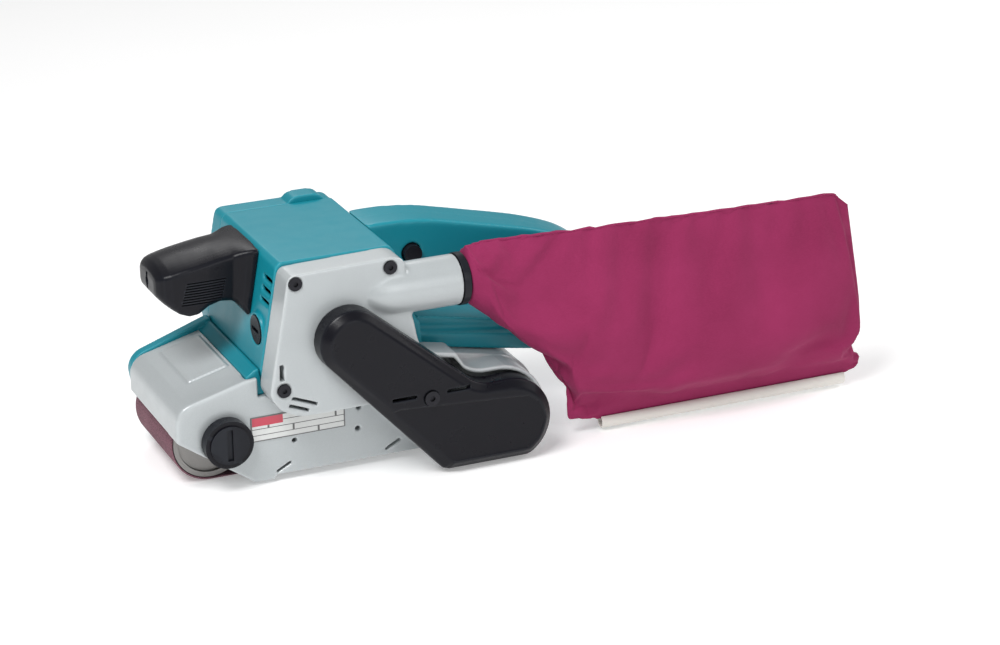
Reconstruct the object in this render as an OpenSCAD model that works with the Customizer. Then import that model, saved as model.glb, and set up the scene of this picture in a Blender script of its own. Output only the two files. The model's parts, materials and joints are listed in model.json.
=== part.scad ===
// Handheld belt sander with a side-mounted dust bag.
// +X points to the rear, +Y to the operator's right, +Z up.
// The origin is the centre of the sanding face, where the belt meets the work.

/* [Sanding belt] */
// Width of the sanding belt
belt_w = 76; // [74:1:77]
// Thickness of the sanding belt
belt_t = 1; // [0.8:0.1:1.2]
// Distance between the two roller axles
axle_gap = 184.8; // [183:0.2:186]
// Outer radius of the belt where it turns round a roller
belt_r = 26; // [25.8:0.1:26]
// Gap between a roller and the belt
roller_gap = 0.5; // [0.3:0.1:0.6]

/* [Frame] */
// Outer face of the left side casting
side_y = -60; // [-62:1:-59]
// Wall of the side casting
side_wall = 3.5; // [3:0.5:4]
// Height of the deck that the motor stands on
deck_z = 60; // [59:1:61]
// Thickness of the deck and of the nose shell
deck_t = 3; // [2.5:0.5:3]

/* [Motor] */
// Height of the motor shaft
motor_z = 100; // [99:1:101]
// Place of the motor shaft along the machine
motor_x = -13; // [-14:1:-12]
// Top of the motor housing
housing_top = 148; // [146:1:149]
// Wall of the plastic housings
wall = 3; // [2.5:0.5:3]
// Pitch radius of the motor pulley
motor_pulley_r = 4.8; // [4.6:0.1:4.8]
// Pitch radius of the driven pulley
driven_pulley_r = 14.4; // [13.8:0.3:14.4]

/* [Covers] */
// Outer face of the fan cover
fan_face_y = -81; // [-83:1:-80]
// Outer face of the drive cover
drive_face_y = -98; // [-100:1:-97]
// Outer radius of the dust nozzle
nozzle_r = 16.5; // [16:0.5:17]
// Bore radius of the dust nozzle
nozzle_bore = 14.2; // [14.2:0.1:14.4]
// Rear end of the dust nozzle
nozzle_end = 66; // [62:1:66]

/* [Handles] */
// Width of the rear handle
handle_w = 36; // [34:1:38]
// Width of the front grip
grip_w = 57; // [52:1:58]
// Bore radius of the cord inlet
cord_r = 3.9; // [3.5:0.1:4.2]

/* [Dust bag] */
// Rear end of the bag
bag_end = 368; // [330:1:370]
// Thickness of the filled bag
bag_thick = 40; // [34:1:42]

/* [Hidden] */
$fn = 64;

roller_x = axle_gap / 2;
roller_z = belt_r;
roller_r = belt_r - belt_t - roller_gap;
roller_half = belt_w / 2 - 0.5;
frame_in = -42;              // inner face of the side casting
far_y = 46;                  // right-hand end of the motor housing
lean = 0.18;                 // forward lean of the housing's front, per unit of height
nozzle_y = -70;
nozzle_z = 122.5;
bag_y = nozzle_y - 2;
hem_z = 5.6;
run = 0.05;                  // radial running clearance
gap = 0.3;                   // gap between bodies that pass each other

teal = [0.12, 0.53, 0.6];
silver = [0.76, 0.78, 0.78];
black = [0.12, 0.12, 0.14];
steel = [0.62, 0.62, 0.64];

// ---- helpers -------------------------------------------------------------

// Cuts the corners of a closed outline k times, which rounds it
function soften(p, k) = k == 0 ? p : soften([for (i = [0:len(p) - 1]) let (
    a = p[i], b = p[(i + 1) % len(p)]) each [0.75 * a + 0.25 * b, 0.25 * a + 0.75 * b]], k - 1);

// Rounds each corner of a closed outline over a length of up to r along its two edges
function fillet(p, r) = [for (i = [0:len(p) - 1]) let (
    a = p[(i + len(p) - 1) % len(p)], b = p[i], c = p[(i + 1) % len(p)],
    s = b + (a - b) * min(0.5, r / norm(a - b)), e = b + (c - b) * min(0.5, r / norm(c - b)))
    each [for (t = [0:0.25:1]) (1 - t) * (1 - t) * s + 2 * t * (1 - t) * b + t * t * e]];

// Points of an arc in degrees, from a0 to a1
function arc(x, z, r, a0, a1, n = 12) =
    [for (i = [0:n]) let (a = a0 + (a1 - a0) * i / n) [x + r * cos(a), z + r * sin(a)]];

// A side outline (X, Z) made solid from y0 to y1
module slab(y0, y1) {
    translate([0, y1, 0]) rotate([90, 0, 0]) linear_extrude(y1 - y0) children();
}
module rod_x(x0, x1, y, z, r) {
    translate([x0, y, z]) rotate([0, 90, 0]) cylinder(r = r, h = x1 - x0);
}
module rod_y(x, y0, y1, z, r) {
    translate([x, y1, z]) rotate([90, 0, 0]) cylinder(r = r, h = y1 - y0);
}
module rod_z(x, y, z0, z1, r) {
    translate([x, y, z0]) cylinder(r = r, h = z1 - z0);
}
module block(x0, x1, y0, y1, z0, z1) {
    translate([x0, y0, z0]) cube([x1 - x0, y1 - y0, z1 - z0]);
}
// A pan-head screw along Y: head on the -Y side at y, shank towards +Y
module screw_y(x, z, y, head, shank, len) {
    difference() {
        rod_y(x, y - 2.2, y, z, head);
        rod_y(x, y - 3, y - 0.8, z, head * 0.38);
    }
    rod_y(x, y, y + len, z, shank);
}
// A ball bearing: two rings and a filled middle with shallow grooves
module bearing(x, y0, y1, z, r_in, r_out) {
    mid = (r_in + r_out) / 2;
    difference() {
        rod_y(x, y0, y1, z, r_out);
        rod_y(x, y0 - 1, y1 + 1, z, r_in);
        for (y = [[y0 - 1, y0 + 0.6], [y1 - 0.6, y1 + 1]])
            difference() {
                rod_y(x, y[0], y[1], z, mid + 1.8);
                rod_y(x, y[0] - 1, y[1] + 1, z, mid - 1.8);
            }
    }
}

// ---- outlines in the X-Z plane --------------------------------------------

// Nose: upright front, round brow and a top that climbs to the motor
function nose_line(d) = concat(
    [[-121 + d, 38]], arc(-107.5 + d * 0.3, 49.5 - d * 0.2, 13.5 - d * 0.5, 180, 108, 10),
    [[-72.5, 73 - d]]);

// Side casting: nose, deck, sloping rear shoulder and the round rear end
side_line = concat(
    [[-121, 38]], arc(-107.5, 49.5, 13.5, 180, 108, 10), [[-72.5, 73], [-66, 73], [-66, deck_z],
    [50, deck_z], [50, 69.5], [58, 69.5]], arc(roller_x + 1, 29, 33, 72, 0, 10),
    [[roller_x + 33.5, 20], [roller_x + 30, 8], [roller_x + 14, 4.5], [-55, 4.5], [-57, 1.8],
    [-70, 1.8]]);
side_hollow = concat(
    [[-117.5, 41]], arc(-107, 49, 10, 180, 108, 8), [[-72.5, 69.5], [-69.5, 69.5],
    [-69.5, deck_z - 4], [53.5, deck_z - 4], [53.5, 66], [58, 66]],
    arc(roller_x + 1, 29, 29.5, 72, 0, 10),
    [[roller_x + 30, 20], [roller_x + 26, 11], [roller_x + 14, 8], [-55, 8], [-68, 5.5]]);

// Belt drive: motor end, straight top edge, hollow and the hump over the driven pulley
function drive_line(d) = concat(
    arc(motor_x, motor_z, 22 - d, 218, 51, 14),
    arc(82 - d * 0.4, 82 + d * 0.2, 25 + d, 231, 268, 6),
    arc(roller_x + 0.6, 28, 29.5 - d, 92, -58, 16),
    [[106 - d, 1.8 + d], [50 + d * 0.4, 1.8 + d], [45.5 + d * 1.2, 3.2 + d]]);

fan_line = [[-50, 146], [22, 148], [27.5, 145], [29, 139], [28.2, 124], [32, 110], [36, 88],
    [46, 72], [44, 58], [36, 51.5], [-30, 50.5], [-46, 51], [-58, 57], [-65, 67], [-63.5, 75]];

// Motor housing: leaning front, flat top and a rear that slopes down to the handle
front_top = -50.8;
front_foot = front_top - lean * (housing_top - 78);
function housing_line(d) = [[front_top + d, housing_top - 3], [front_top + 3 + d, housing_top - d],
    [26 - d, housing_top - d], [30 - d, housing_top - 5], [34 - d, 112], [46 - d, 92],
    [48 - d, deck_z + 0.2 + d], [-60 + d, deck_z + 0.2 + d], [front_foot + d, 78]];

// Rear handle: the outside and the finger gap
handle_out = soften([[8, 147.6], [60, 148.4], [104, 138], [154, 126], [186, 112], [205, 86],
    [206, 62], [192, 50], [150, 52], [142, 62], [120, 74], [60, 86], [20, 92]], 3);
handle_gap = soften([[58, 90], [104, 82], [150, 72], [172, 74], [173, 88], [158, 102],
    [124, 108], [84, 115], [57, 117], [52, 104]], 3);
handle_core = soften([[40, 142], [58, 144], [104, 133.5], [152, 121.5], [182, 107], [199, 83],
    [200, 66], [190, 56], [178, 58], [178, 90], [160, 106], [126, 112], [86, 119.5], [57, 121.5],
    [44, 124]], 2);

grip_side = [[front_top, 147.8], [-62, 148.4], [-73, 147.6], [-84, 145.4], [-98, 143],
    [-108, 140.4], [-114.6, 136.6], [-117.4, 129], [-116, 122.5], [-110, 115], [-102, 109],
    [-96.5, 107], [-91, 107.6], [-84, 112.4], [-76, 114.3], [-68, 112.6], [-62.5, 109], [-59.1, 103]];
grip_top = [[-40, -grip_w / 2], [-60, -grip_w / 2 + 1], [-85, -grip_w / 2 + 2.5],
    [-104, -grip_w / 2 + 4], [-113, -grip_w / 2 + 8], [-118, -grip_w / 2 + 15],
    [-118, grip_w / 2 - 15], [-113, grip_w / 2 - 8], [-104, grip_w / 2 - 4],
    [-85, grip_w / 2 - 2.5], [-60, grip_w / 2 - 1], [-40, grip_w / 2]];
grip_y = -2;

// ---- frame -----------------------------------------------------------------

beam = [-42, 58];            // front and rear end of the bridge inside the belt
beam_z = [5.2, 45];
lever_x = -22;               // pivot of the tension lever
lever_y = 27;

module main_frame() color(silver) {
    difference() {
        union() {
            // side casting, hollow towards the belt
            difference() {
                slab(side_y, frame_in) polygon(side_line);
                slab(side_y + side_wall, frame_in + 1) polygon(side_hollow);
            }
            // nose shell over the front roller
            slab(frame_in - 2, belt_w / 2)
                polygon(concat(nose_line(0), [for (i = [12:-1:0]) nose_line(deck_t)[i]]));
            // raised pad on the nose
            translate([-102, -30, 65]) rotate([0, -15.3, 0])
                translate([0, 0, -1]) cube([27.5, 58, 2.3]);
            // deck over the belt
            block(-66, 53, frame_in - 2, far_y - 6, deck_z - deck_t, deck_z);
            block(-75, -66, frame_in - 2, belt_w / 2, 66.6, 69.4);
            block(-69, -66, frame_in - 2, belt_w / 2, deck_z - deck_t, 69.4);
            slab(frame_in - 2, far_y - 6) polygon(concat([[50, 57], [50, 69.5], [58, 69.5]],
                arc(roller_x + 1, 29, 33, 72, 20, 8), arc(roller_x + 1, 29, 30, 20, 72, 8),
                [[58, 66.5], [53, 66.5], [53, 57]]));
            // bridge that carries the platen and the tension gear
            difference() {
                block(beam[0], beam[1], side_y + 1, 36, beam_z[0], beam_z[1]);
                block(beam[0] + 18, beam[1] - 4, -38, 18, beam_z[0] + 4, beam_z[1] - 4);
            }
            // rear shaft boss
            rod_y(roller_x, side_y - 14, frame_in, roller_z, 19);
            // walls round the belt drive, between the fan cover and the drive cover
            slab(fan_face_y, side_y + 1) difference() {
                polygon(concat([[0, 54], [20, 76], [46, 79], [62, 76]], arc(82, 86, 24, 232, 268, 5),
                    arc(roller_x - 1.5, 29, 33, 92, -52, 14), [[96, 3], [47, 3], [44, 5]]));
                polygon(concat([[5, 54], [24, 72], [46, 75.5], [60, 73]],
                    arc(82, 84, 25, 232, 268, 5), arc(roller_x - 1.5, 29, 30, 92, -49, 14),
                    [[96, 6], [48, 6]]));
                polygon(fillet(fan_line, 5));
            }
        }
        // the guard plate drops into the casting here
        block(-72.4, -65.9, side_y + side_wall, frame_in + 1, 60.1, 74);
        // rear bearings and the shaft between them
        rod_y(roller_x, side_y - 15, side_y - 4, roller_z, 13);
        rod_y(roller_x, -54, frame_in + 1, roller_z, 13);
        rod_y(roller_x, side_y - 10, frame_in, roller_z, 9);
        // tension rod guide and the pocket of its spring
        rod_x(beam[0] - 1, beam[0] + 19, 0, roller_z, 6 + run);
        rod_x(beam[0] - 1, beam[0] + 8, 0, roller_z, 9);
        // pocket and pivot of the tension lever
        block(lever_x - 8, beam[1] - 6, 20, 37, 20, 32);
        rod_z(lever_x, lever_y, 14, 38.1, 2.5);
        // knob seat and its screw
        rod_y(-88.7, side_y - 1, side_y + 1, 34.5, 16.4);
        rod_y(-88.7, side_y - 1, frame_in + 1, 34.5, 4.1);
        // small holes and slots of the side face
        for (h = [[-42.6, 26.3], [0.7, 26.7], [1.8, 41.2]]) rod_y(h[0], side_y - 1, -50, h[1], 1.7);
        for (s = [[-50.5, 9], [24.6, 11]]) translate([s[0], side_y + 1, s[1]]) rotate([0, -28, 0])
            cube([12, 9, 1.8], center = true);
        // opening of the dust passage behind the bridge
        block(62, 84, -30, 26, 55, 72.5);
        // platen and fan cover screws
        for (x = [-30, 46]) for (y = [-24, 16]) rod_z(x, y, 4, 9, 1.6);
    }
}

module guard_plate() color(teal) {
    outer = concat([[-118.5, 41]], arc(-106, 50.5, 14, 180, 110, 10), [[-66, 79.5], [-63.7, 79.5], [-63.7, 78]]);
    inner = concat([[-60.8, 62]], [[-70, 62]], [[-70, 68]], arc(-105, 49, 9, 110, 180, 8), [[-114, 41]]);
    slab(belt_w / 2 + 0.1, far_y) polygon(concat(outer, inner));
    // strip across the machine, in front of the housing's foot
    slab(side_y + side_wall + 0.1, belt_w / 2 + 0.1) polygon([[-72.3, 69.6], [-72.3, 73.2],
        [-66, 77.6], [-63.7, 78], [-62.1, 69.6], [-60.3, 60.2], [-65.8, 60.2], [-65.8, 69.6]]);
}

// ---- motor housing and its covers -------------------------------------------

cover_holes = [[-44, 141.5], [22, 141.5], [-50, 67], [38, 67]];   // screws of the end cover, X and Z
vents = [[-49, 134], [-49, 127], [-49, 120]];   // air slots in the housing's front, Y and Z

module motor_housing() color(teal) difference() {
    union() {
        difference() {
            slab(side_y + 0.3, far_y) polygon(housing_line(0));
            slab(side_y + 4, far_y + 1) polygon(housing_line(wall));
        }
        // bearing seat, brush bosses and the seats of the stator
        rod_y(motor_x, side_y + 0.3, -48, motor_z, 14.5);
        block(-55, motor_x - 35.6, -20, 10, motor_z + 11, motor_z + 17);
        block(-60, motor_x - 35.6, -20, 10, motor_z - 17, motor_z - 11);
        block(motor_x + 35.6, 33, -20, 10, motor_z + 11, motor_z + 17);
        block(motor_x + 35.6, 45, -20, 10, motor_z - 17, motor_z - 11);
        rod_x(-60.5, -48, -44.4, motor_z, 11.2);
        rod_x(22, 43, -44.4, motor_z, 11.2);
        // screw posts behind the end cover
        for (p = cover_holes) rod_y(p[0], 20, far_y, p[1], 4.5);
    }
    rod_y(motor_x, side_y - 1, -56.9, motor_z, 6);
    rod_y(motor_x, -57, -47, motor_z, 11);
    rod_x(-61, -47, -44.4, motor_z, 6.2);
    rod_x(21, 44, -44.4, motor_z, 6.2);
    rod_x(-61, -56, -44.4, motor_z, 9.6);
    rod_x(38, 44, -44.4, motor_z, 9.6);
    for (p = cover_holes) rod_y(p[0], 24, far_y + 1, p[1], 1.7);
    for (v = vents) block(-62, -48, v[0] - 8, v[0] + 8, v[1] - 1.6, v[1] + 1.6);
    // front grip screw and the leads' way into the handle
    rod_x(-60, -46, grip_y, 128, 2.3);
    rod_x(28, 50, 0, 128, 7);
}

module end_cover() color(teal) difference() {
    union() {
        difference() {
            slab(far_y + 0.1, 62) polygon(fillet(housing_line(0.4), 4));
            slab(far_y - 1, 59) polygon(housing_line(wall + 0.4));
        }
        // bearing seat carried by three spokes
        rod_y(motor_x, far_y + 0.1, 59.5, motor_z, 14);
        for (a = [90, 210, 330]) translate([motor_x, 56, motor_z]) rotate([0, a, 0])
            translate([0, -1.5, -2]) cube([44, 4.5, 4]);
        // boss on top
        slab(far_y + 0.1, 60) polygon(concat(arc(3, 144, 8, 172, 90, 5), arc(14, 144, 8, 90, 8, 5)));
        for (p = cover_holes) rod_y(p[0], far_y + 0.1, 60, p[1], 4.5);
    }
    rod_y(motor_x, far_y - 1, 55, motor_z, 11);
    for (p = cover_holes) {
        rod_y(p[0], far_y - 1, 63, p[1], 2.1);
        rod_y(p[0], 58, 63, p[1], 4);
    }
    // air outlets in a fan of slots
    for (a = [-60:20:60]) translate([motor_x, 60, motor_z]) rotate([0, a - 90, 0])
        translate([18, -3, -1.6]) cube([14, 8, 3.2]);
}

module end_cover_screws() color(steel)
    for (p = cover_holes) mirror([0, 1, 0])
        screw_y(p[0], p[1], -58, 3.6, 1.65, 30);

module fan_cover() color(silver) {
    d = 2.6;
    difference() {
        union() {
            slab(fan_face_y, side_y) polygon(fillet(fan_line, 5));
            // nozzle that grows out of the cover
            difference() {
                translate([0, nozzle_y, nozzle_z]) rotate([0, 90, 0]) rotate_extrude()
                    polygon(concat([[0, -6]], [for (a = [10:10:90])
                        [nozzle_r * sin(a), 24 - 30 * cos(a)]], [[nozzle_r, nozzle_end], [0, nozzle_end]]));
                block(-20, 34, side_y, -40, 100, 145);
            }
        }
        // fan chamber with its way out into the nozzle
        rod_y(motor_x, fan_face_y + d, side_y + 1, motor_z, 37);
        rod_x(motor_x, 30, nozzle_y, nozzle_z, 9);
        rod_x(26, nozzle_end + 1, nozzle_y, nozzle_z, nozzle_bore);
        // shaft hole
        rod_y(motor_x, fan_face_y - 1, side_y, motor_z, 6);
        // dust passage from the frame
        block(-44, 20, fan_face_y + d + 4, side_y + 1, 56, 70);
        // air slots in the face
        translate([-56.4, fan_face_y, 82.5]) rotate([0, 4, 0]) cube([2.4, 12, 11], center = true);
        translate([-42, fan_face_y, 61]) rotate([0, 22, 0]) cube([18, 12, 2], center = true);
        translate([-46, fan_face_y, 57]) rotate([0, 22, 0]) cube([14, 12, 2], center = true);
        for (s = fan_screws) {
            rod_y(s[0], fan_face_y - 2, side_y + 1, s[1], 2.2);
            rod_y(s[0], fan_face_y - 2, fan_face_y + 1.4, s[1], 4.6);
        }
    }
}
fan_screws = [[-45.5, 140.5], [18, 141.5], [-55.5, 70.5]];

module fan_cover_screws() color(black)
    for (s = fan_screws) screw_y(s[0], s[1], fan_face_y + 1.4, 4.4, 2, 18);

module drive_cover() color(black) difference() {
    slab(drive_face_y, fan_face_y - 0.1) polygon(drive_line(0));
    slab(drive_face_y + 2.5, -79) polygon(drive_line(2.6));
    // room for the belt where the edge dips
    slab(drive_face_y + 2.5, -79) belt_loop(2.2);
    rod_y(cover_screw[0], drive_face_y - 1, -90, cover_screw[1], 2.4);
    rod_y(cover_screw[0], drive_face_y - 1, drive_face_y + 1, cover_screw[1], 5.2);
    for (s = [[19, 58], [56.5, 58.3]]) translate([s[0], drive_face_y, s[1]])
        cube([17, 6, 2], center = true);
}
cover_screw = [37.4, 55.5];
module drive_cover_screw() color(black) screw_y(cover_screw[0], cover_screw[1], drive_face_y + 1, 5, 2.2, 8);

// ---- rear body and handle -------------------------------------------------

module rear_body() color(teal) difference() {
    union() {
        slab(-50, far_y - 6) polygon([[48.4, 69.8], [48.4, 82], [54, 81.6], [129, 69.4],
            [131.5, 66], [131.5, 59], [128.8, 56.4], [114, 59], [104, 60.8], [58, 69.8]]);
        slab(-46.5, far_y - 9) polygon([[48.4, 78], [48.4, 91.5], [56, 90.2], [104, 81],
            [126, 76.4], [130, 72], [129, 64]]);
    }
    // hand rest groove along both sides
    for (y = [-50, far_y - 6]) hull() for (x = [[50, 84.5], [138, 70.5]])
        translate([x[0], y, x[1]]) rotate([0, 90 + 9, 0]) cylinder(r = 4, h = 1, $fn = 32);
    slab(-43, far_y - 13) polygon([[53, 74], [53, 84], [127.5, 69], [127.5, 62], [116, 62]]);
    slab(-handle_w / 2 - 0.1, handle_w / 2 + 0.1) polygon(handle_out);
}

module handle_shell() difference() {
    slab(-handle_w / 2, handle_w / 2) difference() {
        polygon(handle_out);
        polygon(handle_gap);
        polygon(housing_line(-0.3));
    }
    slab(-handle_w / 2 + wall, handle_w / 2 - wall) polygon(handle_core);
    // room for the trigger, the lock button and the cord gland
    block(61, 102, -9.4, 9.4, 100, 125);
    rod_y(lock[0], -handle_w / 2 - 1, -5, lock[1], 6.5);
    rod_x(192, 210, 0, 78, 8.05);
    for (p = handle_holes) rod_y(p[0], -20, 20, p[1], 1.7);
    for (p = handle_holes) rod_y(p[0], 15.4, 20, p[1], 3.5);
    rod_y(64, -15.4, 15.4, 117.5, 1.55);
}
lock = [57.6, 124.5];
handle_holes = [[37, 134], [112, 110.2], [150, 62], [176, 108]];
module handle_left() color(teal) intersection() {
    handle_shell();
    block(20, 220, -40, 0, 40, 160);
}
module handle_right() color(teal) intersection() {
    handle_shell();
    block(20, 220, 0.02, 40, 40, 160);
}
module handle_screws() color(steel)
    for (p = handle_holes) mirror([0, 1, 0]) screw_y(p[0], p[1], -15.5, 3.3, 1.6, 24);

module front_grip() color(black) difference() {
    intersection() {
        slab(-40, 40) polygon(grip_side);
        translate([0, grip_y, 80]) linear_extrude(90) polygon(grip_top);
    }
    // screw well and its slot in the front
    rod_x(-120, -66, grip_y, 128, 3);
    rod_x(-67, -40, grip_y, 128, 2.3);
    block(-120, -110, grip_y - 2, grip_y + 2, 122, 134);
}
module grip_screw() color(steel) difference() {
    union() {
        rod_x(-69, -66, grip_y, 128, 2.9);
        rod_x(-66.2, -44, grip_y, 128, 2.1);
    }
    rod_x(-70, -67.6, grip_y, 128, 1.2);
}

// ---- motor ------------------------------------------------------------------

module stator() color([0.45, 0.3, 0.2]) difference() {
    union() {
        rod_y(motor_x, -24, 14, motor_z, 36.7);
        for (a = [0, 180]) translate([motor_x, -31, motor_z]) rotate([0, a, 0])
            slab(0, 52) intersection() {
                difference() { circle(r = 33); circle(r = 26.5); }
                translate([-60, -18]) square([60, 36]);
            }
    }
    rod_y(motor_x, -40, 40, motor_z, 24.6);
}
module brush_holders() color([0.8, 0.65, 0.3]) {
    for (x = [[-55, -28], [2, 37.8]]) difference() {
        rod_x(x[0], x[1], -44.4, motor_z, 6);
        block(x[0] - 1, x[1] + 1, -47.5, -41.3, motor_z - 4.1, motor_z + 4.1);
    }
}
module carbon_brushes() color([0.2, 0.2, 0.22])
    for (x = [[-43, -13 - 13.2], [-13 + 13.2, 17]])
        block(x[0], x[1], -47.4, -41.4, motor_z - 4, motor_z + 4);
module brush_caps() color(black)
    for (s = [[-60.8, -56, -60.9, -59.4], [38, 43.2, 42, 43.4]]) difference() {
        rod_x(s[0], s[1], -44.4, motor_z, 9.4);
        block(s[2], s[3], -50.4, -38.4, motor_z - 1.2, motor_z + 1.2);
    }

shaft_end_r = 2.4;             // end of the motor shaft, in the motor pulley
module armature_shaft() color(steel) union() {
    rod_y(motor_x, -83, 54, motor_z, 4);
    rod_y(motor_x, -95, -82.9, motor_z, shaft_end_r);
}
module on_shaft(y0, y1, r, bore = 4) difference() {
    rod_y(motor_x, y0, y1, motor_z, r);
    rod_y(motor_x, y0 - 1, y1 + 1, motor_z, bore);
}
module armature_core() color([0.5, 0.35, 0.25]) difference() {
    union() {
        on_shaft(-24, 14, 24);
        on_shaft(-33, -24, 19);
        on_shaft(14, 21, 19);
    }
    for (a = [0:30:330]) translate([motor_x, 0, motor_z]) rotate([0, a, 0])
        block(21, 25, -23, 13, -0.8, 0.8);
}
module commutator() color([0.75, 0.45, 0.3]) on_shaft(-46.5, -34, 13);
module cooling_fan() color(black) union() {
    on_shaft(30, 32, 33);
    on_shaft(24, 38, 8);
    for (a = [0:40:320]) translate([motor_x, 0, motor_z]) rotate([0, a, 0])
        block(7.5, 32, 32, 40, -0.9, 0.9);
}
module dust_fan() color([0.6, 0.6, 0.62]) union() {
    on_shaft(-64, -61.5, 34);
    on_shaft(-77, -61, 8);
    for (a = [0:45:315]) translate([motor_x, 0, motor_z]) rotate([0, a, 0])
        block(7.5, 33.5, -76, -64, -1, 1);
}
module motor_bearings() color(steel) {
    bearing(motor_x, -57, -50, motor_z, 4 + run, 11);
    bearing(motor_x, 47.5, 54.5, motor_z, 4 + run, 11);
}

// ---- belt drive ---------------------------------------------------------------

module grooved_pulley(x, z, r, bore) difference() {
    union() {
        rod_y(x, -94, -84, z, r - 1);
        rod_y(x, -94.6, -94, z, r + 0.4);
        rod_y(x, -84, -83.4, z, r + 0.4);
    }
    rod_y(x, -96, -82, z, bore);
    for (y = [-92.4:2:-85]) translate([x, y, z]) rotate([90, 0, 0]) rotate_extrude()
        polygon([[r - 2, 0], [r, -0.8], [r, 0.8]]);
}
module motor_pulley() color(steel) grooved_pulley(motor_x, motor_z, motor_pulley_r, shaft_end_r);
module driven_pulley() color(steel) difference() {
    grooved_pulley(roller_x, roller_z, driven_pulley_r, 6);
    for (a = [0:60:300]) translate([roller_x, 0, roller_z]) rotate([0, a, 0])
        rod_y(10, -96, -82, 0, 1.8);
}
module pulley_nut() color(steel) difference() {
    translate([roller_x, -94.7, roller_z]) rotate([90, 0, 0]) cylinder(r = 8, h = 0.7);
    rod_y(roller_x, -97, -94, roller_z, 6);
}
// Outline round both pulleys, grown by g; the belt runs straight between them
function loop_line(g) = let (
    span = [roller_x - motor_x, roller_z - motor_z],
    slope = asin((driven_pulley_r - motor_pulley_r) / norm(span))) concat(
    arc(0, 0, motor_pulley_r + g, 90 + slope, 270 - slope, 12),
    arc(norm(span), 0, driven_pulley_r + g, 270 - slope, 450 + slope, 24));

module belt_loop(g) translate([motor_x, motor_z])
    rotate(atan2(roller_z - motor_z, roller_x - motor_x)) polygon(loop_line(g));

module drive_belt() color([0.1, 0.1, 0.1]) slab(-93.4, -84.6) difference() {
    belt_loop(1.6);
    belt_loop(0.1);
}

// ---- rollers, platen and sanding belt ---------------------------------------------

module rear_shaft() color(steel) union() {
    rod_y(roller_x, -95.4, -70.1, roller_z, 6);
    rod_y(roller_x, -70.2, 30, roller_z, 7);
}
module rear_roller() color([0.25, 0.25, 0.26]) difference() {
    rod_y(roller_x, -roller_half, roller_half, roller_z, roller_r);
    rod_y(roller_x, -roller_half - 1, 30, roller_z, 7);
    rod_y(roller_x, 34, roller_half + 1, roller_z, 16);
}
module rear_bearings() color(steel) {
    bearing(roller_x, -74, -64, roller_z, 7 + run, 13);
    bearing(roller_x, -54, -44, roller_z, 7 + run, 13);
}
module sanding_belt() color([0.53, 0.33, 0.38]) slab(-belt_w / 2, belt_w / 2) difference() {
    union() {
        for (s = [-1, 1]) translate([s * roller_x, roller_z]) circle(r = belt_r, $fn = 128);
        translate([-roller_x, 0]) square([axle_gap, 2 * belt_r]);
    }
    for (s = [-1, 1]) translate([s * roller_x, roller_z]) circle(r = belt_r - belt_t, $fn = 128);
    translate([-roller_x, belt_t]) square([axle_gap, 2 * (belt_r - belt_t)]);
}
module platen_plate() color(steel) difference() {
    union() {
        block(-58, 62, -36, 36, belt_t, 2.2);
        slab(-36, 36) polygon([[-58, 1], [-61, 2.4], [-61, 4], [-60, 4], [-59.6, 2.8], [-58, 2.2]]);
    }
    for (x = [-30, 46]) for (y = [-24, 16]) rod_z(x, y, 0, 3, 1.6);
}
module platen_pad() color([0.35, 0.25, 0.15]) difference() {
    block(-56, 60, -36, 35, 2.2, 5.2);
    for (x = [-30, 46]) for (y = [-24, 16]) rod_z(x, y, 2, 6, 1.6);
}
module platen_screws() color(steel)
    for (x = [-30, 46]) for (y = [-24, 16]) rod_z(x, y, 1.3, 8.8, 1.5);

// ---- front roller, its yoke and the tension gear -----------------------------------

yoke_x = -57;                // pivot of the roller yoke
yoke_half = belt_w / 2 + 3.2; // half the yoke's width
module tension_rod() color(steel) union() {
    rod_x(-52.6, -24.5, 0, roller_z, 6);
    difference() {
        block(-61, -52.4, -8, 8, roller_z - 11, roller_z + 11);
        block(-62, -53.6, -9, 9, roller_z - 5.2, roller_z + 5.2);
        rod_z(yoke_x, 0, roller_z - 12, roller_z + 12, 3);
    }
}
module tension_spring() color(steel) difference() {
    rod_x(-52.2, -34.2, 0, roller_z, 8.6);
    rod_x(-53, -34, 0, roller_z, 6.6);
}
module yoke_pin() color(steel) rod_z(yoke_x, 0, roller_z - 10.6, roller_z + 10.6, 2.95);
module roller_yoke() color(steel) difference() {
    union() {
        block(-65, -61.4, -yoke_half, yoke_half, roller_z - 12, roller_z - 5.4);
        block(-65, -62, -yoke_half, yoke_half, roller_z - 12, roller_z + 12);
        block(-65, -61.4, -yoke_half, yoke_half, roller_z + 5.4, roller_z + 12);
        block(-65, -53.9, -7, 7, roller_z - 4.9, roller_z + 4.9);
        for (s = [-1, 1]) translate([0, s * (yoke_half - 1.2), 0]) hull() {
            rod_y(-roller_x, -1.2, 1.2, roller_z, 9);
            block(-64, -62, -1.2, 1.2, roller_z - 12, roller_z + 12);
        }
    }
    rod_y(-roller_x, -45, 45, roller_z, 5);
    rod_z(yoke_x, 0, 0, 60, 3);
}
module front_axle() color(steel) rod_y(-roller_x, -yoke_half - 0.2, yoke_half + 0.2, roller_z, 5);
module front_roller() color([0.6, 0.6, 0.58]) difference() {
    rod_y(-roller_x, -roller_half, roller_half, roller_z, roller_r);
    rod_y(-roller_x, -roller_half - 1, roller_half + 1, roller_z, 5 + run);
    for (y = [[-roller_half - 1, -roller_half + 2.5], [roller_half - 2.5, roller_half + 1]])
        difference() {
            rod_y(-roller_x, y[0], y[1], roller_z, 21);
            rod_y(-roller_x, y[0] - 1, y[1] + 1, roller_z, 9);
        }
}
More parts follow.
